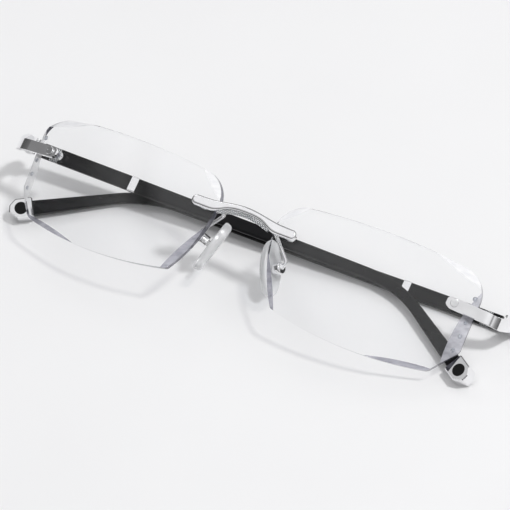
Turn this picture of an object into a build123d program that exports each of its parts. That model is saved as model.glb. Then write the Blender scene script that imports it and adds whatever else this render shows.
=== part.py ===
"""Rimless eyeglasses, folded and lying front up.

The frame is drawn as worn: +X to the wearer's left, +Y back towards the wearer, +Z up, with the
origin at the middle of the bridge. Each piece is laid down on its temples by one placement when
it is written. Lengths are in millimetres.
"""
from build123d import *
from math import cos, radians, sin, sqrt, tan
import os

# Lenses: plano shells, tilted back at the bottom (pantoscopic) and wrapped round the face
LENS_X, LENS_Y, LENS_Z = 34.0, -0.2, -8.0  # middle of the left lens's front surface
WRAP_SLOPE = 0.108
PANTO_SLOPE = 0.103
FRONT_RADIUS = 130.0
LENS_THICK = 2.0

# Lens fixings: hole places in the lens's own plane, measured from its middle
NASAL_HOLE = (-21.7, 5.5)
TEMPORAL_HOLE = (24.0, 5.0)
HOLE_RADIUS = 1.0
STUD_RADIUS = 0.65
WASHER_RADIUS = 1.25
FRONT_WASHER = 0.12
REAR_WASHER = 0.25
HEAD_RADIUS, HEAD_TALL, SLOT_WIDE = 1.05, 0.4, 0.25
NUT_HEIGHT = 1.1
NUT_RADIUS = 1.2

# Bridge
BRIDGE_HALF = 14.9
BRIDGE_REAR_Y = -1.48
BRIDGE_THICK = 1.2
PLATE_Z = -2.3
PLATE_TALL = 2.7
ARCH_TOP = 0.35
ARCH_LOW = -1.45

# Endpieces and hinges (left side)
PLATE_THICK = 1.1
PLATE_BEFORE, PLATE_AFTER = 2.0, 7.2  # the plate's flat length each way from its screw
WRAP_TURN_DEG = 16.3  # the plate follows the lens surface at the screw
END_PLATE_TALL = 2.9
END_PLATE_Z = -3.0
BLOCK_TALL = 4.2
HINGE_X, HINGE_Y, HINGE_Z = 68.2, 16.2, -0.6
WALL_MID_X = 70.15
WALL_THICK = 1.2
WINDOW_LONG, WINDOW_TALL, WINDOW_DEEP = 3.4, 2.1, 0.35
BUTT = 2.0  # from the hinge axis back to the end of the endpiece
KNUCKLE_RADIUS = 1.2
FRONT_KNUCKLE_RADIUS = 1.35
KNUCKLE_TALL = 1.5
KNUCKLE_GAP = 0.08
PIN_RADIUS = 0.6
PIN_CLEARANCE = 0.03

# Temples, drawn open: x outboard of the hinge axis, y back from it, z from its middle
BAR_OUT = 1.8
BAR_THICK = 1.5
BAR_TALL = 3.9
TENON_THICK = 0.9
TENON_TALL = 3.0
BAR_START = BUTT + 0.06
KNURL = (4.6, 7.0)
BAND = (28.0, 30.1)
BEND_Y = 96.5
BEND_RADIUS = 30.0
BEND_DEG = 34.3
BEND_LEAN_DEG = 26.0
TIP_LENGTH = 20.4  # from the bend to the end cap
TIP_SIZES = ((1.5, 3.9), (1.8, 2.9), (2.4, 3.9))
CORE_THICK = 0.8
CORE_TALL = 2.2
CAP_LENGTH = 6.5
CAP_TALL = 5.3
CAP_THICK = 3.6
INLAY_RADIUS = 1.7

# Folded rest: each temple's turn from straight back, and how the folded frame lies
FOLD_RIGHT = 90.0
FOLD_LEFT = 86.5
LIE_TILT = 22.8
LIE_ROLL = 3.4

# Nose pads (left side)
PAD_MIDDLE = (8.4, 8.0, -10.3)
PAD_LONG = (0.321, 0.219, -0.92)
PAD_OUT = (0.906, -0.352, 0.233)
PAD_LENGTH = 14.4
PAD_WIDTH = 7.4
PAD_THICK = 2.4
PAD_PIVOT = 2.6
BOX_RADIUS = 1.65
BOX_NEAR, BOX_FAR = 1.7, 3.8
WIRE_RADIUS = 0.45

pieces = {}


def keep(name, part):
    """Store a finished piece under its node name."""
    part.label = name
    pieces[name] = part


def both_sides(name, part):
    """Store a left piece and its mirrored right twin."""
    keep(name + "_left", part)
    keep(name + "_right", mirror(part, about=Plane.YZ))


# ---------------------------------------------------------------- lenses
front_normal = Vector(WRAP_SLOPE, -1, -PANTO_SLOPE)
LENS = Plane(origin=(LENS_X, LENS_Y, LENS_Z), x_dir=(1, WRAP_SLOPE, 0), z_dir=front_normal)
SPHERE_MIDDLE = LENS.from_local_coords(Vector(0, 0, -FRONT_RADIUS))


def on_front(u, v):
    """Point of the front surface over (u, v) in the lens's plane."""
    w = sqrt(FRONT_RADIUS**2 - u**2 - v**2) - FRONT_RADIUS
    return LENS.from_local_coords(Vector(u, v, w))


def hole_plane(place):
    """Plane that touches the front surface at a hole, facing forward."""
    point = on_front(*place)
    return Plane(origin=point, x_dir=(1, 0, 0), z_dir=point - SPHERE_MIDDLE)


def facet_plane(start, inner, end):
    """Plane of a flat cut through three points of the front surface."""
    a, b, c = on_front(*start), on_front(*inner), on_front(*end)
    normal = (c - a).cross(b - a)
    if normal.dot(front_normal) < 0:
        normal = normal * -1
    return Plane(origin=b, x_dir=c - a, z_dir=normal)


TEMPORAL_FACET = facet_plane((29.2, 10.5), (26.5, 0.2), (26.3, -10.2))
FACETS = (
    TEMPORAL_FACET,
    facet_plane((28.9, 11.0), (21.9, 12.73), (15.0, 15.15)),
    facet_plane((25.0, -12.0), (17.4, -13.03), (8.0, -15.35)),
    facet_plane((-25.0, 0.0), (-20.9, -6.55), (-17.5, -13.5)),
    facet_plane((-25.7, 7.4), (-21.98, 10.4), (-18.6, 13.8)),
)
CRYSTALS = ((28.25, 8.0), (28.3, 1.8), (28.2, -1.9), (27.9, -5.7))
CRYSTAL_RADIUS = 0.6
CRYSTAL_DEPTH = 0.35

with BuildPart() as lens:
    with BuildSketch(LENS.offset(-10)) as outline:
        with BuildLine():
            top = ThreePointArc((-19, 13.7), (-3, 15.05), (14, 15.2))
            ear = Line(top @ 1, (22.5, 14.5))
            round_top = ThreePointArc(ear @ 1, (27.6, 12.3), (29.5, 7.5))
            side = Line(round_top @ 1, (29.5, -5.8))
            chamfered = Line(side @ 1, (24.0, -12.9))
            low = ThreePointArc(chamfered @ 1, (4.0, -15.5), (-18.7, -13.2))
            nasal = ThreePointArc(low @ 1, (-23.6, -4.0), (-25.8, 6.6))
            ThreePointArc(nasal @ 1, (-24.1, 10.9), top @ 0)
        make_face()
        for corner, radius in (((-18.7, -13.2), 1.2), ((24.0, -12.9), 2.5), ((29.5, -5.8), 2.5)):
            fillet(outline.vertices().sort_by_distance((*corner, 0))[0], radius)
    extrude(amount=14)
    with Locations(SPHERE_MIDDLE):
        Sphere(FRONT_RADIUS, mode=Mode.INTERSECT)
        Sphere(FRONT_RADIUS - LENS_THICK, mode=Mode.SUBTRACT)
    for facet in FACETS:
        split(bisect_by=facet, keep=Keep.BOTTOM)
    for place in (NASAL_HOLE, TEMPORAL_HOLE):
        with Locations(hole_plane(place)):
            Cylinder(HOLE_RADIUS, 3 * LENS_THICK, mode=Mode.SUBTRACT)


def crystal_plane(place):
    """Plane of the temporal facet under a crystal."""
    point = LENS.from_local_coords(Vector(*place, 0))
    along = Vector(front_normal).normalized()
    reach = (TEMPORAL_FACET.origin - point).dot(TEMPORAL_FACET.z_dir) / along.dot(TEMPORAL_FACET.z_dir)
    return Plane(origin=point + along * reach, x_dir=(0, 0, 1), z_dir=TEMPORAL_FACET.z_dir)


with BuildPart() as lens_drilled:
    add(lens.part)
    for place in CRYSTALS:
        with Locations(crystal_plane(place)):
            Cylinder(CRYSTAL_RADIUS, 2 * CRYSTAL_DEPTH, mode=Mode.SUBTRACT)
both_sides("lens", lens_drilled.part)

with BuildPart() as crystals:
    for place in CRYSTALS:
        seat = crystal_plane(place)
        with BuildSketch(seat.offset(-CRYSTAL_DEPTH)):
            RegularPolygon(CRYSTAL_RADIUS, 8)
        extrude(amount=CRYSTAL_DEPTH)
        with BuildSketch(seat):
            RegularPolygon(CRYSTAL_RADIUS, 8)
        extrude(amount=0.22, taper=40)
both_sides("crystals", crystals.part)

# ---------------------------------------------------------------- bridge
PLATE_ROUND = PLATE_TALL / 2
with BuildPart() as bridge_bar:
    with BuildSketch(Plane.XZ.offset(-BRIDGE_REAR_Y)) as face:
        with BuildLine():
            for side in (-1, 1):
                flat = side * (BRIDGE_HALF - PLATE_ROUND)
                ThreePointArc((flat, PLATE_Z + PLATE_ROUND), (side * BRIDGE_HALF, PLATE_Z),
                              (flat, PLATE_Z - PLATE_ROUND))
                Line((flat, PLATE_Z - PLATE_ROUND), (side * 9.8, PLATE_Z - PLATE_ROUND))
            Spline((-9.8, PLATE_Z - PLATE_ROUND), (-5.2, -2.15), (0, ARCH_LOW), (5.2, -2.15),
                   (9.8, PLATE_Z - PLATE_ROUND), tangents=((1, 0), (1, 0)))
            Spline((-(BRIDGE_HALF - PLATE_ROUND), PLATE_Z + PLATE_ROUND), (-8.5, -0.72), (0, ARCH_TOP),
                   (8.5, -0.72), (BRIDGE_HALF - PLATE_ROUND, PLATE_Z + PLATE_ROUND),
                   tangents=((1, 0), (1, 0)))
        make_face()
    extrude(amount=BRIDGE_THICK)
    front_edges = bridge_bar.faces().sort_by(Axis.Y)[0].edges()
    fillet(front_edges, 0.7)


def mirrored_pair(part):
    """A left solid and its right twin as one part."""
    return Part() + [part, mirror(part, about=Plane.YZ)]


NASAL = hole_plane(NASAL_HOLE)
TEMPORAL = hole_plane(TEMPORAL_HOLE)
STUD_REACH = LENS_THICK + REAR_WASHER + NUT_HEIGHT - 0.35
with BuildPart() as stud:
    with Locations(NASAL):
        Cylinder(STUD_RADIUS, STUD_REACH + 0.9, align=(Align.CENTER, Align.CENTER, Align.MAX))
    with Locations((0, BRIDGE_REAR_Y - BRIDGE_THICK / 2, 0)):
        Box(40, BRIDGE_THICK, 20, align=(Align.CENTER, Align.MAX, Align.CENTER), mode=Mode.SUBTRACT)
with BuildPart() as stud_start:
    with Locations(NASAL):
        Cylinder(STUD_RADIUS, 0.6, align=(Align.CENTER, Align.CENTER, Align.MIN))

with BuildPart() as bridge:
    add(bridge_bar.part)
    add(mirrored_pair(stud.part))
    add(mirrored_pair(stud_start.part))
keep("bridge", bridge.part)

RIB_COUNT = 11
RIB_PITCH = 0.9
with BuildPart() as rib_bar:
    with BuildSketch(Plane.XZ.offset(-BRIDGE_REAR_Y)) as strip:
        with BuildLine():
            Spline((-7.6, -3.02), (-4.2, -2.0), (0, ARCH_LOW - 0.03), (4.2, -2.0), (7.6, -3.02))
            Line((7.6, -3.02), (7.2, -3.75))
            Spline((7.2, -3.75), (4.0, -2.85), (0, -2.35), (-4.0, -2.85), (-7.2, -3.75))
            Line((-7.2, -3.75), (-7.6, -3.02))
        make_face()
    extrude(amount=0.75)
with BuildPart() as bridge_trim:
    add(rib_bar.part)
    with Locations(Plane.XZ.offset(-BRIDGE_REAR_Y + 0.75)):
        with GridLocations(RIB_PITCH, 1, RIB_COUNT, 1):
            Box(0.26, 12, 0.4, rotation=(0, 0, 18), mode=Mode.SUBTRACT)
    add(bridge.part, mode=Mode.SUBTRACT)
keep("bridge_trim", bridge_trim.part)

# ---------------------------------------------------------------- endpieces
TURN = radians(WRAP_TURN_DEG)
plate_mid = TEMPORAL.origin + TEMPORAL.z_dir * (FRONT_WASHER + PLATE_THICK / 2)
plate_dir = Vector(cos(TURN), sin(TURN), 0)
plate_start = plate_mid - plate_dir * PLATE_BEFORE
plate_end = plate_mid + plate_dir * PLATE_AFTER
block_half = BLOCK_TALL / 2
plate_half = END_PLATE_TALL / 2
wall_end_y = HINGE_Y + BUTT
arc_dx = WALL_MID_X - plate_end.X
arc_end_y = plate_end.Y + arc_dx * tan(radians((WRAP_TURN_DEG + 90) / 2))

with BuildPart() as arm_plan:
    with BuildSketch(Plane.XY.offset(-8)):
        with BuildLine() as spine:
            Line((plate_start.X, plate_start.Y), (plate_end.X, plate_end.Y))
            TangentArc((plate_end.X, plate_end.Y), (WALL_MID_X, arc_end_y), tangent=(cos(TURN), sin(TURN)))
            Line((WALL_MID_X, arc_end_y), (WALL_MID_X, wall_end_y))
        trace(line_width=WALL_THICK)
    extrude(amount=14)
with BuildPart() as arm_side:
    with BuildSketch(Plane.XZ.offset(-30)):
        with BuildLine():
            left_x = plate_start.X
            ThreePointArc((left_x + plate_half, END_PLATE_Z + plate_half), (left_x, END_PLATE_Z),
                          (left_x + plate_half, END_PLATE_Z - plate_half))
            Polyline((left_x + plate_half, END_PLATE_Z - plate_half), (65.2, END_PLATE_Z - plate_half),
                     (65.2, -8), (72, -8), (72, 6), (65.2, 6), (65.2, END_PLATE_Z + plate_half),
                     (left_x + plate_half, END_PLATE_Z + plate_half))
        make_face()
    extrude(amount=40)
RISE_START = arc_end_y - 4.0  # the wall climbs from the plate to the hinge between these
RISE_END = arc_end_y + 1.2
with BuildPart() as arm_profile:
    with BuildSketch(Plane.YZ.offset(50)):
        with BuildLine():
            Polyline((-10, END_PLATE_Z - plate_half), (RISE_START, END_PLATE_Z - plate_half),
                     (RISE_END, HINGE_Z - block_half), (wall_end_y + 1, HINGE_Z - block_half),
                     (wall_end_y + 1, HINGE_Z + block_half), (RISE_END, HINGE_Z + block_half),
                     (RISE_START, END_PLATE_Z + plate_half), (-10, END_PLATE_Z + plate_half), close=True)
        make_face()
    extrude(amount=30)

knuckle_plane = Plane(origin=(HINGE_X, HINGE_Y, HINGE_Z))
front_knuckle_tall = block_half - KNUCKLE_TALL / 2 - KNUCKLE_GAP
web_length = WALL_MID_X - HINGE_X
with BuildPart() as endpiece:
    add(arm_plan.part)
    add(arm_side.part, mode=Mode.INTERSECT)
    add(arm_profile.part, mode=Mode.INTERSECT)
    for level in (-1, 1):
        middle = level * (block_half - front_knuckle_tall / 2)
        with Locations(knuckle_plane.offset(middle)):
            Cylinder(FRONT_KNUCKLE_RADIUS, front_knuckle_tall)
            Box(web_length, 2 * FRONT_KNUCKLE_RADIUS, front_knuckle_tall,
                align=(Align.MIN, Align.CENTER, Align.CENTER))
    with Locations(knuckle_plane):
        Cylinder(PIN_RADIUS, BLOCK_TALL + 1, mode=Mode.SUBTRACT)
    with Locations(knuckle_plane.offset(block_half)):
        Cylinder(1.0, 1.0, mode=Mode.SUBTRACT)
    with Locations(TEMPORAL):
        Cylinder(STUD_RADIUS, 6, mode=Mode.SUBTRACT)
    with Locations(TEMPORAL.offset(FRONT_WASHER)):
        Cylinder(WASHER_RADIUS + 0.1, 1, align=(Align.CENTER, Align.CENTER, Align.MAX), mode=Mode.SUBTRACT)
    with Locations(TEMPORAL.offset(FRONT_WASHER + PLATE_THICK - 0.05)):
        Cylinder(1.12, 1, align=(Align.CENTER, Align.CENTER, Align.MIN), mode=Mode.SUBTRACT)
    with Locations((WALL_MID_X + WALL_THICK / 2, RISE_END + WINDOW_LONG / 2, HINGE_Z)):
        Box(2 * WINDOW_DEEP, WINDOW_LONG, WINDOW_TALL, mode=Mode.SUBTRACT)
both_sides("endpiece", endpiece.part)

with BuildPart() as hinge_screw:
    with Locations(knuckle_plane.offset(block_half - 0.5)):
        Cylinder(0.95, 0.45, align=(Align.CENTER, Align.CENTER, Align.MIN))
    with Locations(knuckle_plane.offset(-block_half)):
        Cylinder(PIN_RADIUS, BLOCK_TALL - 0.5, align=(Align.CENTER, Align.CENTER, Align.MIN))
    with Locations(knuckle_plane.offset(block_half - 0.05)):
        Box(0.22, 1.5, 0.36, mode=Mode.SUBTRACT)
keep("hinge_screws", mirrored_pair(hinge_screw.part))

# ---------------------------------------------------------------- lens fixings
head_level = FRONT_WASHER + PLATE_THICK
with BuildPart() as end_screw:
    with Locations(TEMPORAL.offset(head_level + 0.05)):
        Cylinder(HEAD_RADIUS, HEAD_TALL, align=(Align.CENTER, Align.CENTER, Align.MIN))
        rims = end_screw.edges().filter_by(GeomType.CIRCLE)
        fillet(rims.sort_by_distance(TEMPORAL.offset(head_level + 3).origin)[0], 0.15)
        Cylinder(STUD_RADIUS, STUD_REACH + head_level + 0.05, align=(Align.CENTER, Align.CENTER, Align.MAX))
    with Locations(TEMPORAL.offset(head_level + 0.05 + HEAD_TALL)):
        Box(1.5 * HEAD_RADIUS, SLOT_WIDE, HEAD_TALL, mode=Mode.SUBTRACT)
keep("endpiece_screws", mirrored_pair(end_screw.part))


def ring(plane, outer, inner, low, tall):
    """Flat ring round a fixing, from level low on the plane's axis."""
    with BuildPart() as made:
        with BuildSketch(plane.offset(low)):
            Circle(outer)
            Circle(inner, mode=Mode.SUBTRACT)
        extrude(amount=tall)
    return made.part


def dome_nut(plane):
    """Dome nut behind the rear washer."""
    level = -(LENS_THICK + REAR_WASHER)
    with BuildPart() as made:
        with BuildSketch(plane.offset(level)):
            RegularPolygon(NUT_RADIUS, 6)
            Circle(STUD_RADIUS, mode=Mode.SUBTRACT)
        extrude(amount=-NUT_HEIGHT)
        with Locations(plane.offset(level - NUT_HEIGHT / 2)):
            Cylinder(NUT_RADIUS - 0.06, NUT_HEIGHT, mode=Mode.INTERSECT)
    return made.part


FIXINGS = (NASAL, TEMPORAL)
bushes = [ring(plane, HOLE_RADIUS, STUD_RADIUS, -LENS_THICK, LENS_THICK) for plane in FIXINGS]
front_washers = [ring(plane, WASHER_RADIUS, STUD_RADIUS, 0.01, FRONT_WASHER - 0.02) for plane in FIXINGS]
rear_washers = [ring(plane, WASHER_RADIUS, STUD_RADIUS, -LENS_THICK - REAR_WASHER + 0.01,
                     REAR_WASHER - 0.03) for plane in FIXINGS]
nuts = [dome_nut(plane) for plane in FIXINGS]
for group, members in (("lens_bushes", bushes), ("front_washers", front_washers),
                       ("rear_washers", rear_washers), ("lens_nuts", nuts)):
    keep(group, Part() + [mirrored_pair(member) for member in members])

# ---------------------------------------------------------------- nose pads
pad_long = Vector(*PAD_LONG).normalized()
pad_out = Vector(*PAD_OUT).normalized()
PAD = Plane(origin=PAD_MIDDLE, x_dir=pad_long, z_dir=pad_out)
pad_across = PAD.y_dir

with BuildPart() as pad_insert:
    with BuildSketch(PAD.offset(0.1)):
        Ellipse(4.0, 1.9)
    extrude(amount=0.45)
    with BuildSketch(Plane(origin=PAD.origin - pad_across * 0.5, x_dir=pad_long, z_dir=pad_across)) as lug:
        with Locations((0, -PAD_PIVOT)):
            Circle(0.75)
        with Locations((0, -PAD_PIVOT / 2 - 0.2)):
            Rectangle(1.5, PAD_PIVOT - 0.4)
    extrude(amount=1.0)
    with Locations(Plane(origin=PAD.origin + pad_out * PAD_PIVOT, z_dir=pad_across)):
        Cylinder(0.45 + PIN_CLEARANCE, 3, mode=Mode.SUBTRACT)
both_sides("pad_insert", pad_insert.part)

with BuildPart() as nose_pad:
    with BuildSketch(PAD.offset(-PAD_THICK / 2 - 0.2)):
        Ellipse(PAD_LENGTH / 2, PAD_WIDTH / 2)
    extrude(amount=PAD_THICK)
    fillet(nose_pad.edges().sort_by_distance(PAD.origin - pad_out * 20)[0], 1.4)
    fillet(nose_pad.edges().sort_by_distance(PAD.origin + pad_out * 20)[0], 0.6)
    add(pad_insert.part, mode=Mode.SUBTRACT)
both_sides("nose_pad", nose_pad.part)

with BuildPart() as box_blank:
    with BuildSketch(PAD.offset(BOX_NEAR)):
        Circle(BOX_RADIUS)
    extrude(amount=BOX_FAR - BOX_NEAR)
with BuildPart() as pad_box:
    add(box_blank.part)
    fillet(pad_box.edges().filter_by(GeomType.CIRCLE).sort_by_distance(PAD.origin + pad_out * 20)[0], 0.5)
    with BuildSketch(PAD.offset(BOX_NEAR)):
        Rectangle(4, 1.3)
    extrude(amount=PAD_PIVOT + 0.9 - BOX_NEAR, mode=Mode.SUBTRACT)
    with Locations(Plane(origin=PAD.origin + pad_out * PAD_PIVOT, z_dir=pad_across)):
        Cylinder(0.45, 5, mode=Mode.SUBTRACT)
both_sides("pad_box", pad_box.part)

with BuildPart() as pad_screw:
    with Locations(Plane(origin=PAD.origin + pad_out * PAD_PIVOT, z_dir=pad_across)):
        Cylinder(0.45, 2.9)
    with Locations(Plane(origin=PAD.origin + pad_out * PAD_PIVOT - pad_across * 1.45, z_dir=pad_across)):
        Box(0.9, 0.16, 0.3, mode=Mode.SUBTRACT)
keep("pad_screws", mirrored_pair(pad_screw.part))

arm_end = PAD.origin + pad_out * (BOX_FAR - 0.2)
with BuildPart() as pad_arm:
    with BuildLine() as wire_path:
        FilletPolyline((7.3, BRIDGE_REAR_Y - 0.5, -2.6), (7.3, 4.3, -2.3), (12.2, 6.5, -7.6),
                       (arm_end.X, arm_end.Y, arm_end.Z), radius=1.2)
    with BuildSketch(Plane(origin=wire_path.line @ 0, z_dir=wire_path.line % 0)):
        Circle(WIRE_RADIUS)
    sweep(path=wire_path.line)
    add(box_blank.part, mode=Mode.SUBTRACT)
    add(bridge.part, mode=Mode.SUBTRACT)
    add(bridge_trim.part, mode=Mode.SUBTRACT)
both_sides("pad_arm", pad_arm.part)

# ---------------------------------------------------------------- temples, drawn open
# The tip turns down and in along one slanted plane: straight, one arc, straight.
lean = radians(BEND_LEAN_DEG)
bend_way = Vector(-sin(lean), 0, -cos(lean))
BEND_START = Plane(origin=(BAR_OUT, BEND_Y, 0), x_dir=(1, 0, 0), z_dir=(0, 1, 0))
bend_axis = Axis(BEND_START.origin + bend_way * BEND_RADIUS, Vector(0, 1, 0).cross(bend_way))
back = Vector(0, 1, 0)
bend_turn = radians(BEND_DEG)
tip_way = back * cos(bend_turn) + bend_way * sin(bend_turn)
turned_way = bend_way * cos(bend_turn) - back * sin(bend_turn)
BEND_END = Plane(
    origin=BEND_START.origin + back * BEND_RADIUS * sin(bend_turn)
    + bend_way * BEND_RADIUS * (1 - cos(bend_turn)),
    x_dir=turned_way * bend_way.X + bend_axis.direction * bend_axis.direction.X,
    z_dir=tip_way,
)


def bent_run(straight_from, sizes, run, corner):
    """Straight, arc and straight length of the temple with three sizes: start, bend, end."""
    first, middle, last = sizes
    with BuildPart() as made:
        with BuildSketch(Plane(origin=(BAR_OUT, straight_from, 0), x_dir=(1, 0, 0), z_dir=(0, 1, 0))):
            RectangleRounded(*first, corner)
        with BuildSketch(BEND_START):
            RectangleRounded(*middle, corner)
        loft(ruled=True)
        with BuildSketch(BEND_START):
            RectangleRounded(*middle, corner)
        revolve(axis=bend_axis, revolution_arc=BEND_DEG)
        with BuildSketch(BEND_END):
            RectangleRounded(*middle, corner)
        with BuildSketch(BEND_END.offset(run)):
            RectangleRounded(*last, corner)
        loft(ruled=True)
    return made.part


def bar_run(start, end, thick=BAR_THICK, tall=BAR_TALL):
    """Straight rectangular length of the temple."""
    with BuildPart() as made:
        with BuildSketch(Plane.XZ.offset(-start)):
            with Locations((BAR_OUT, 0)):
                RectangleRounded(thick, tall, 0.3)
        extrude(amount=-(end - start))
    return made.part


core = bent_run(BAND[1], ((CORE_THICK, CORE_TALL),) * 3, TIP_LENGTH + 2, 0.2)

with BuildPart() as temple_bar:
    add(bar_run(BAR_START, KNURL[0]))
    add(bar_run(KNURL[0], KNURL[1], TENON_THICK, TENON_TALL))
    add(bar_run(KNURL[1], BAND[0]))
    add(bar_run(BAND[0], BAND[1], TENON_THICK, TENON_TALL))
    add(core)

leaf_inner = BAR_OUT - BAR_THICK / 2
with BuildPart() as temple_hinge:
    Cylinder(KNUCKLE_RADIUS, KNUCKLE_TALL)
    with BuildSketch(Plane.XY.offset(-KNUCKLE_TALL / 2)):
        Polygon((-KNUCKLE_RADIUS, 0), (leaf_inner, 0), (leaf_inner, 6.6), (leaf_inner - 0.9, 6.6),
                (-KNUCKLE_RADIUS, 2.2), align=None)
    extrude(amount=KNUCKLE_TALL)
    Cylinder(PIN_RADIUS + PIN_CLEARANCE, KNUCKLE_TALL + 1, mode=Mode.SUBTRACT)


def ring_run(span, proud, tenon_thick=TENON_THICK, tenon_tall=TENON_TALL):
    """Rectangular ring round the bar's tenon."""
    with BuildPart() as made:
        add(bar_run(span[0], span[1], BAR_THICK + 2 * proud, BAR_TALL + 2 * proud))
        add(bar_run(span[0], span[1], tenon_thick, tenon_tall), mode=Mode.SUBTRACT)
    return made.part


band = ring_run(BAND, 0.08)
with BuildPart() as knurl:
    add(ring_run(KNURL, 0.0))
    for step in range(5):
        with Locations((BAR_OUT, KNURL[0] + 0.3 + 0.4 * step, 0)):
            Box(BAR_THICK + 1, 0.16, BAR_TALL + 1, mode=Mode.SUBTRACT)
    add(ring_run(KNURL, -0.12))

with BuildPart() as temple_tip:
    add(bent_run(BAND[1] + 0.02, TIP_SIZES, TIP_LENGTH, 0.65))
    add(core, mode=Mode.SUBTRACT)

CAP = BEND_END.offset(TIP_LENGTH)
cap_side = Plane(origin=CAP.origin - CAP.x_dir * CAP_THICK / 2, x_dir=CAP.z_dir, z_dir=CAP.x_dir)
with BuildPart() as cap_blank:
    with BuildSketch(cap_side):
        with BuildLine():
            half = CAP_TALL / 2
            Polyline((0.0, -half), (4.4, -half), (CAP_LENGTH, -0.6), (CAP_LENGTH - 0.3, 1.2),
                     (4.6, half), (0.0, half), close=True)
        make_face()
    extrude(amount=CAP_THICK)
    fillet(cap_blank.edges().filter_by(Axis(cap_side.origin, cap_side.z_dir)), 0.6)
    chamfer(cap_blank.faces().sort_by(Axis(CAP.origin, CAP.x_dir))[0].edges(), 0.25)
inlay_plane = Plane(origin=cap_side.origin + CAP.z_dir * 3.3, x_dir=CAP.z_dir, z_dir=CAP.x_dir * -1)
with BuildPart() as inlay:
    with Locations(inlay_plane.offset(-0.45)):
        Cylinder(INLAY_RADIUS, 0.45, align=(Align.CENTER, Align.CENTER, Align.MIN))
with BuildPart() as end_cap:
    add(cap_blank.part)
    add(inlay.part, mode=Mode.SUBTRACT)
    add(core, mode=Mode.SUBTRACT)

# ---------------------------------------------------------------- folding and writing
left_hinge = Location((HINGE_X, HINGE_Y, HINGE_Z), (0, 0, FOLD_LEFT))
right_hinge = Location((-HINGE_X, HINGE_Y, HINGE_Z), (0, 0, -FOLD_RIGHT))
for name, made in (("temple_bar", temple_bar.part), ("temple_hinge", temple_hinge.part),
                   ("temple_knurl", knurl.part), ("temple_band", band),
                   ("temple_tip", temple_tip.part), ("tip_cap", end_cap.part), ("tip_inlay", inlay.part)):
    keep(name + "_left", left_hinge * made)
    keep(name + "_right", right_hinge * mirror(made, about=Plane.YZ))

laid = Location((0, 0, 0), (0, LIE_ROLL, 0)) * Location((0, 0, 0), (LIE_TILT - 90, 0, 0))
box = Compound([laid * part for part in pieces.values()]).bounding_box()
LAY_DOWN = Location((-box.center().X, -box.center().Y, -box.min.Z)) * laid
print("size", box.size, "middle bridge at", LAY_DOWN.position)
os.makedirs("parts", exist_ok=True)
for name, part in pieces.items():
    placed = LAY_DOWN * part
    placed.label = name
    export_step(placed, f"parts/{name}.step")
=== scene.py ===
"""Rimless eyeglasses folded on a pale table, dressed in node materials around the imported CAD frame."""

import math

import bpy
from mathutils import Matrix, Vector

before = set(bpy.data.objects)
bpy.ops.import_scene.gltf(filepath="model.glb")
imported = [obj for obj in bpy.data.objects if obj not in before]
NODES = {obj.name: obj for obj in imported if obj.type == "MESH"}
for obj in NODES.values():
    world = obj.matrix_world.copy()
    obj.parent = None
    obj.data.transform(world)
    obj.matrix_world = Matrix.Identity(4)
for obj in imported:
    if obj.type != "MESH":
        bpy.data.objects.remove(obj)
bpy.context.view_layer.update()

# Camera, in the row frame: angles in degrees, distance and shifts in metres, focal length in millimetres
CAMERA_AZIMUTH = 37.72
CAMERA_ELEVATION = 49.10
CAMERA_ROLL = -11.56
CAMERA_DISTANCE = 1.047
CAMERA_LENS = 291.2
CAMERA_SLIDE = 0.0016
CAMERA_RISE = 0.0068

SKY_LEAN = 0.25  # how much higher the bright top of the studio reaches down towards +X
SKY_STRENGTH = 0.95

# The sky's brightness by height, from 0 at the horizon and below to 1 overhead, with one dark band
SKY_STOPS = (
    (0.0, 0.10), (0.30, 0.14), (0.50, 0.32), (0.66, 0.85),
    (0.73, 0.22), (0.79, 0.9), (0.90, 1.0), (1.0, 0.8),
)
SKY_BLUE = 1.01  # blue against red and green

# Softboxes: the way to each from the object, its distance and size in metres, and its power in watts
SOFTBOXES = {
    "key": ((0.55, 0.10, 1.0), 1.6, (0.16, 0.16), 11.5),
    "fill": ((-0.8, 0.6, 0.9), 1.6, (0.9, 0.7), 2.6),
}

LENS_IOR = 1.12
# How squarely a lens face looks along the lens's axis, from 0 to 1: ground bevels are below the first number,
# and the rim, painted dark as shade, comes in between the next two
BEVEL_FACING = 0.94
RIM_SHADE_FACING = (0.3, 0.5)
PAINTED_SHADE_BEVEL_WAY = (0.10, -0.995, 0.0)  # the way the lower bevels face that get painted shade
PAINTED_SHADE_BEVEL_FACING = (0.46, 0.50)
LENS_FRONT_UP = 0.6  # faces of a lens that look up more than this are its front

MM = 0.001
FLOOR_HALF = 3.0  # metres


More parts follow.
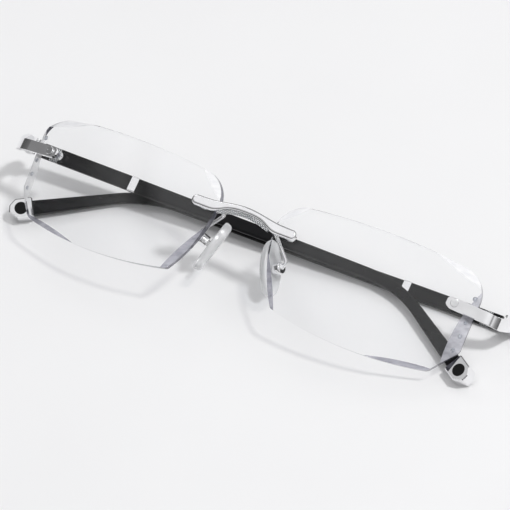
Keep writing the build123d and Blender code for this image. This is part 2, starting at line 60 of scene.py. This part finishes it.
# ---------------------------------------------------------------- node helpers
class Shader:
    """A material's node tree, with short calls to add and link nodes."""

    def __init__(self, name):
        self.material = bpy.data.materials.new(name)
        self.material.use_nodes = True
        self.tree = self.material.node_tree
        self.tree.nodes.clear()
        self.coords = self.add("ShaderNodeTexCoord").outputs["Object"]

    def add(self, kind, **settings):
        node = self.tree.nodes.new(kind)
        for key, value in settings.items():
            setattr(node, key, value)
        return node

    def join(self, source, target):
        self.tree.links.new(source, target)

    def spread(self, stretch=(1, 1, 1), turn=(0, 0, 0)):
        """The object's coordinates in millimetres, turned and then stretched."""
        mapping = self.add("ShaderNodeMapping")
        mapping.vector_type = "TEXTURE"
        mapping.inputs["Rotation"].default_value = [math.radians(t) for t in turn]
        mapping.inputs["Scale"].default_value = [MM * s for s in stretch]
        self.join(self.coords, mapping.inputs["Vector"])
        return mapping.outputs["Vector"]

    def noise(self, size_mm, detail=3, stretch=(1, 1, 1), turn=(0, 0, 0)):
        node = self.add("ShaderNodeTexNoise")
        node.inputs["Scale"].default_value = 1 / size_mm
        node.inputs["Detail"].default_value = detail
        self.join(self.spread(stretch, turn), node.inputs["Vector"])
        return node.outputs["Fac"]

    def ramp(self, source, *stops):
        """A colour ramp from (place, colour) stops."""
        node = self.add("ShaderNodeValToRGB")
        stops = sorted(stops)
        elements = node.color_ramp.elements
        while len(elements) < len(stops):
            elements.new(0.5)
        for element, (place, colour) in zip(elements, stops):
            element.position = place
            element.color = (*colour, 1)
        self.join(source, node.inputs["Fac"])
        return node.outputs["Color"]

    def span(self, source, low, high, start=0.3, end=0.7):
        """A number that runs from low to high as the source runs from start to end."""
        node = self.add("ShaderNodeMapRange")
        node.inputs["From Min"].default_value = start
        node.inputs["From Max"].default_value = end
        node.inputs["To Min"].default_value = low
        node.inputs["To Max"].default_value = high
        self.join(source, node.inputs["Value"])
        return node.outputs["Result"]

    def bump(self, height, strength, depth_mm):
        node = self.add("ShaderNodeBump")
        node.inputs["Strength"].default_value = strength
        node.inputs["Distance"].default_value = depth_mm * MM
        self.join(height, node.inputs["Height"])
        return node.outputs["Normal"]

    def blend(self, share, first, second):
        """The second colour over the first, as far as share says."""
        node = self.add("ShaderNodeMix", data_type="RGBA")
        self.join(share, node.inputs["Factor"])
        self.join(first, node.inputs[6])
        self.join(second, node.inputs[7])
        return node.outputs[2]

    def principled(self, **sockets):
        """A Principled shader: sockets are given by name, as a number, a colour or a node's output."""
        node = self.add("ShaderNodeBsdfPrincipled")
        for key, value in sockets.items():
            socket = node.inputs[key.replace("_", " ")]
            if isinstance(value, bpy.types.NodeSocket):
                self.join(value, socket)
            elif isinstance(value, tuple):
                socket.default_value = (*value, 1)
            else:
                socket.default_value = value
        return node.outputs["BSDF"]

    def colour(self, value):
        node = self.add("ShaderNodeRGB")
        node.outputs["Color"].default_value = (*value, 1)
        return node.outputs["Color"]

    def lets_light_through(self, shader, tint):
        """The shader itself to the eye, and a clear tint to diffuse and shadow rays that pass it.

        The tint is a colour or a node's output.
        """
        clear = self.add("ShaderNodeBsdfTransparent")
        if isinstance(tint, tuple):
            clear.inputs["Color"].default_value = (*tint, 1)
        else:
            self.join(tint, clear.inputs["Color"])
        path = self.add("ShaderNodeLightPath")
        for ray in ("Is Diffuse Ray", "Is Shadow Ray"):
            mix = self.add("ShaderNodeMixShader")
            self.join(path.outputs[ray], mix.inputs["Fac"])
            self.join(shader, mix.inputs[1])
            self.join(clear.outputs["BSDF"], mix.inputs[2])
            shader = mix.outputs["Shader"]
        return shader

    def finish(self, shader):
        self.join(shader, self.add("ShaderNodeOutputMaterial").inputs["Surface"])
        return self.material


# ---------------------------------------------------------------- materials
def lens_material(name, axis):
    """Clear coated lens with pale ground bevels, painted shade on the lower bevels and a painted dark rim,
    told by how each face turns.
    """
    s = Shader(name)
    normal = s.add("ShaderNodeNewGeometry").outputs["True Normal"]
    lean = s.add("ShaderNodeVectorMath", operation="DOT_PRODUCT")
    s.join(normal, lean.inputs[0])
    lean.inputs[1].default_value = axis
    facing = s.add("ShaderNodeMath", operation="ABSOLUTE")
    s.join(lean.outputs["Value"], facing.inputs[0])
    ground = s.span(facing.outputs["Value"], 1.0, 0.0, BEVEL_FACING, BEVEL_FACING + 0.01)
    rim = s.span(facing.outputs["Value"], 1.0, 0.0, *RIM_SHADE_FACING)
    streaks = s.noise(1.2, 4, stretch=(5, 1, 1), turn=(0, 0, 20))
    pale = s.ramp(streaks, (0.3, (0.84, 0.845, 0.87)), (0.65, (0.975, 0.975, 0.98)))
    # Painted shade: bevels that face the given way, down and towards the front, are darkened to a grey-violet
    below = s.add("ShaderNodeVectorMath", operation="DOT_PRODUCT")
    s.join(normal, below.inputs[0])
    below.inputs[1].default_value = PAINTED_SHADE_BEVEL_WAY
    painted_bevel_shade = s.ramp(streaks, (0.3, (0.30, 0.30, 0.35)), (0.65, (0.55, 0.55, 0.62)))
    bevel_shade_share = s.span(below.outputs["Value"], 0.0, 1.0, *PAINTED_SHADE_BEVEL_FACING)
    pale = s.blend(bevel_shade_share, pale, painted_bevel_shade)
    clear = s.ramp(s.noise(9), (0.3, (0.985, 0.99, 0.995)), (0.7, (0.998, 0.999, 1.0)))
    tint = s.blend(ground, clear, pale)
    # Painted shade: the lens's edge faces are coloured near-black as a dark rim
    dark = s.ramp(streaks, (0.3, (0.06, 0.06, 0.08)), (0.7, (0.26, 0.26, 0.30)))
    tint = s.blend(rim, tint, dark)
    body = s.span(ground, 1.0, 0.35, 0.0, 1.0)
    haze = s.span(s.noise(9), 0.0, 0.02)
    glass = s.principled(Base_Color=tint, Roughness=haze, IOR=LENS_IOR, Transmission_Weight=body,
                         Coat_Weight=0.6, Coat_Roughness=0.01)
    passed = s.blend(ground, s.colour((0.97, 0.97, 0.972)), s.colour((0.62, 0.62, 0.64)))
    return s.finish(s.lets_light_through(glass, passed))


def crystal_material():
    """Small cut crystals, a little grey inside."""
    s = Shader("crystal")
    tint = s.ramp(s.noise(0.6), (0.35, (0.72, 0.76, 0.82)), (0.65, (0.97, 0.98, 1.0)))
    glass = s.principled(Base_Color=tint, Roughness=0.02, IOR=1.9, Transmission_Weight=0.85)
    return s.finish(s.lets_light_through(glass, (0.8, 0.82, 0.85)))


def silver_material(name, tone, roughness, hairline_mm):
    """Plated metal: soft polish clouds and fine hairline scratches."""
    s = Shader(name)
    cloud = s.noise(2.5, 4)
    colour = s.ramp(cloud, (0.3, tuple(c * 0.94 for c in tone)), (0.7, tone))
    gloss = s.span(cloud, roughness * 0.7, roughness * 1.4)
    hairs = s.noise(hairline_mm, 5, stretch=(6, 1, 1), turn=(0, 0, 20))
    relief = s.bump(hairs, 0.12, 0.01)
    return s.finish(s.principled(Base_Color=colour, Metallic=1.0, Roughness=gloss, Normal=relief))


def ribbed_material():
    """Satin steel with fine knurling cut across it both ways, with painted shade darkening the knurl's
    grooves.
    """
    s = Shader("ribbed_steel")
    heights = []
    for turn in (45, -45):
        wave = s.add("ShaderNodeTexWave")
        wave.bands_direction = "X"
        wave.inputs["Scale"].default_value = 0.7
        s.join(s.spread(turn=(0, 0, turn)), wave.inputs["Vector"])
        heights.append(wave.outputs["Fac"])
    both = s.add("ShaderNodeMath", operation="MULTIPLY")
    for i, height in enumerate(heights):
        s.join(height, both.inputs[i])
    # Painted shade: the knurl's grooves are coloured dark and its ridges light
    colour = s.ramp(both.outputs["Value"], (0.0, (0.16, 0.165, 0.17)), (0.6, (0.66, 0.67, 0.68)))
    relief = s.bump(both.outputs["Value"], 0.6, 0.12)
    return s.finish(s.principled(Base_Color=colour, Metallic=1.0, Roughness=0.28, Normal=relief))


def black_material(name, tone, roughness, coat):
    """Black lacquer or plastic: a light orange-peel and faint rubbed patches along it."""
    s = Shader(name)
    rubbed = s.noise(7, 4, stretch=(3, 1, 1))
    colour = s.ramp(rubbed, (0.35, tone), (0.75, tuple(c * 1.9 for c in tone)))
    gloss = s.span(rubbed, roughness * 0.8, roughness * 1.25)
    peel = s.bump(s.noise(0.45, 2), 0.10, 0.02)
    return s.finish(s.principled(Base_Color=colour, Roughness=gloss, Normal=peel, Specular_IOR_Level=0.12,
                                 Coat_Weight=coat, Coat_Roughness=0.08))


def silicone_material():
    """Soft clear-white silicone, milky inside with a satin skin."""
    s = Shader("silicone")
    milk = s.noise(1.8, 2)
    colour = s.ramp(milk, (0.3, (0.94, 0.95, 0.96)), (0.7, (0.99, 0.99, 0.995)))
    gloss = s.span(milk, 0.12, 0.22)
    skin = s.bump(s.noise(0.5, 2), 0.08, 0.02)
    body = s.principled(Base_Color=colour, Roughness=gloss, IOR=1.41, Transmission_Weight=0.5, Normal=skin,
                        Coat_Weight=0.3, Coat_Roughness=0.1)
    return s.finish(s.lets_light_through(body, (0.86, 0.87, 0.88)))


def clear_plastic_material():
    """Clear washers and bushes, slightly frosted."""
    s = Shader("clear_plastic")
    grain = s.noise(0.4, 2)
    colour = s.ramp(grain, (0.3, (0.86, 0.88, 0.9)), (0.7, (0.96, 0.97, 0.98)))
    gloss = s.span(grain, 0.08, 0.18)
    body = s.principled(Base_Color=colour, Roughness=gloss, IOR=1.49, Transmission_Weight=0.85)
    return s.finish(s.lets_light_through(body, (0.85, 0.86, 0.87)))


def floor_material():
    """Matt near-white table top with barely visible mottling."""
    s = Shader("table")
    grain = s.noise(60, 3)
    colour = s.ramp(grain, (0.3, (0.86, 0.86, 0.865)), (0.7, (0.88, 0.88, 0.885)))
    return s.finish(s.principled(Base_Color=colour, Roughness=0.6))


LOOKS = {
    "crystal": crystal_material(),
    "polished_silver": silver_material("polished_silver", (0.93, 0.93, 0.94), 0.07, 0.5),
    "satin_steel": ribbed_material(),
    "fastener_steel": silver_material("fastener_steel", (0.78, 0.785, 0.79), 0.2, 0.3),
    "black_lacquer": black_material("black_lacquer", (0.004, 0.004, 0.0045), 0.30, 0.03),
    "black_sleeve": black_material("black_sleeve", (0.003, 0.003, 0.0035), 0.24, 0.05),
    "black_inlay": black_material("black_inlay", (0.003, 0.003, 0.003), 0.15, 0.15),
    "silicone": silicone_material(),
    "clear_plastic": clear_plastic_material(),
}


def flat_axis(obj):
    """The mean direction of a node's broad front face: its faces that look up, weighted by area."""
    total = Vector()
    for face in obj.data.polygons:
        if face.normal.z > LENS_FRONT_UP:
            total += face.normal * face.area
    return total.normalized()


def dress_cad_nodes():
    """Each lens takes a look of its own; every other CAD node takes the look its packed material names."""
    for side in ("left", "right"):
        lens = NODES["lens_" + side]
        lens.material_slots[0].material = lens_material("lens_look_" + side, flat_axis(lens))
    for obj in NODES.values():
        for slot in obj.material_slots:
            name = slot.material.name.split(".")[0]
            if name in LOOKS:
                slot.material = LOOKS[name]


# ---------------------------------------------------------------- stage
def make_floor():
    mesh = bpy.data.meshes.new("table")
    h = FLOOR_HALF
    mesh.from_pydata([(-h, -h, 0), (h, -h, 0), (h, h, 0), (-h, h, 0)], [], [(0, 1, 2, 3)])
    table = bpy.data.objects.new("table", mesh)
    mesh.materials.append(floor_material())
    bpy.context.scene.collection.objects.link(table)


def add_softbox(name, towards, distance, size, power):
    """An area light of that size in metres, aimed at the object."""
    light = bpy.data.lights.new(name, "AREA")
    light.shape = "RECTANGLE"
    light.size = size[0]
    light.size_y = size[1]
    light.energy = power
    lamp = bpy.data.objects.new(name, light)
    lamp.location = Vector(towards).normalized() * distance
    lamp.rotation_mode = "QUATERNION"
    lamp.rotation_quaternion = lamp.location.to_track_quat("Z", "Y")
    bpy.context.scene.collection.objects.link(lamp)


def make_studio():
    """A pale room, darker towards the horizon and with one dark band higher up, and two softboxes."""
    world = bpy.data.worlds.new("studio")
    world.use_nodes = True
    bpy.context.scene.world = world
    tree = world.node_tree
    tree.nodes.clear()
    coords = tree.nodes.new("ShaderNodeTexCoord")
    height = tree.nodes.new("ShaderNodeVectorMath")
    height.operation = "DOT_PRODUCT"
    height.inputs[1].default_value = (SKY_LEAN, 0, 1)
    tree.links.new(coords.outputs["Generated"], height.inputs[0])
    ramp = tree.nodes.new("ShaderNodeValToRGB")
    while len(ramp.color_ramp.elements) < len(SKY_STOPS):
        ramp.color_ramp.elements.new(0.5)
    for element, (place, value) in zip(ramp.color_ramp.elements, SKY_STOPS):
        element.position = place
        element.color = (value, value, value * SKY_BLUE, 1)
    tree.links.new(height.outputs["Value"], ramp.inputs["Fac"])
    background = tree.nodes.new("ShaderNodeBackground")
    background.inputs["Strength"].default_value = SKY_STRENGTH
    tree.links.new(ramp.outputs["Color"], background.inputs["Color"])
    output = tree.nodes.new("ShaderNodeOutputWorld")
    tree.links.new(background.outputs["Background"], output.inputs["Surface"])
    for name, settings in SOFTBOXES.items():
        add_softbox(name, *settings)


def make_camera():
    a = math.radians(CAMERA_AZIMUTH)
    e = math.radians(CAMERA_ELEVATION)
    r = math.radians(CAMERA_ROLL)
    back = Vector((math.sin(a) * math.cos(e), -math.cos(a) * math.cos(e), math.sin(e)))
    level = (-back).cross(Vector((0, 0, 1))).normalized()
    upright = level.cross(-back)
    right = level * math.cos(r) + upright * math.sin(r)
    up = upright * math.cos(r) - level * math.sin(r)
    data = bpy.data.cameras.new("camera")
    data.sensor_width = 36
    data.lens = CAMERA_LENS
    data.clip_start = 0.01
    data.clip_end = 50
    camera = bpy.data.objects.new("camera", data)
    bpy.context.scene.collection.objects.link(camera)
    place = back * CAMERA_DISTANCE + right * CAMERA_SLIDE + up * CAMERA_RISE
    turn = Matrix((right, up, back)).transposed()
    camera.matrix_world = Matrix.Translation(place) @ turn.to_4x4()
    bpy.context.scene.camera = camera


dress_cad_nodes()
make_floor()
make_studio()
make_camera()
bpy.context.scene.view_settings.view_transform = "Standard"
